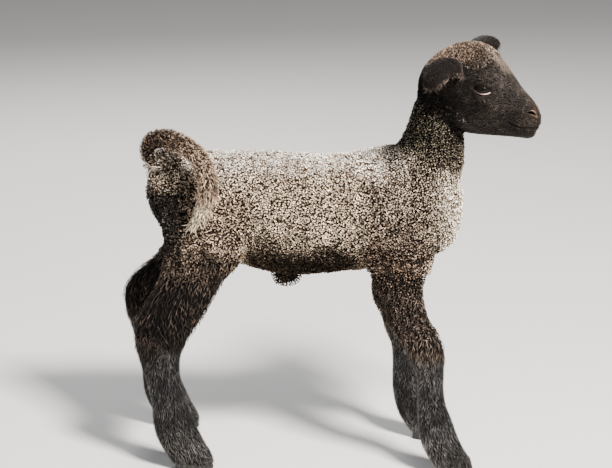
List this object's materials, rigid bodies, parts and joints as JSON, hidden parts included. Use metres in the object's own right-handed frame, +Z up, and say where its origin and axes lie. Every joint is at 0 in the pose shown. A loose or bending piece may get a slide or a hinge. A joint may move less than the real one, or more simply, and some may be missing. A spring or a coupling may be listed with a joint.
{
  "type": "shropshire lamb",
  "caption": "Life-size standing newborn Shropshire lamb with a curly fleece, dark face and legs and a tail carried over its rump.",
  "frame": {"origin": "middle of the outline's box on the floor, level with the soles of the hooves", "axes": "+X towards the lamb's chest and nose, +Y to its left side, +Z up"},
  "size_m": [0.4818, 0.183, 0.4836],
  "materials": {
    "wool": "tight woolly curls, cream and brown mixed",
    "face_fur": "short, dense, near-black brown hair",
    "leg_fur": "short shaggy black-brown hair",
    "eye": "wet and glossy",
    "hoof_horn": "dull dark horn"
  },
  "bodies": {
    "root": {"torso": "wool", "neck": "wool", "head": "face_fur", "ear_right": "face_fur", "ear_left": "face_fur", "eye_right": "eye", "eye_left": "eye", "tail_root": "wool", "tail_arch": "wool", "tail_end": "wool", "fore_leg_right_upper": "leg_fur", "fore_leg_right_lower": "leg_fur", "fore_leg_left_upper": "leg_fur", "fore_leg_left_lower": "leg_fur", "hind_leg_right_upper": "leg_fur", "hind_leg_right_lower": "leg_fur", "hind_leg_left_upper": "leg_fur", "hind_leg_left_lower": "leg_fur", "hoof_fore_right_right_claw": "hoof_horn", "hoof_fore_right_left_claw": "hoof_horn", "hoof_fore_left_right_claw": "hoof_horn", "hoof_fore_left_left_claw": "hoof_horn", "hoof_hind_right_right_claw": "hoof_horn", "hoof_hind_right_left_claw": "hoof_horn", "hoof_hind_left_right_claw": "hoof_horn", "hoof_hind_left_left_claw": "hoof_horn"}
  },
  "joints": []
}
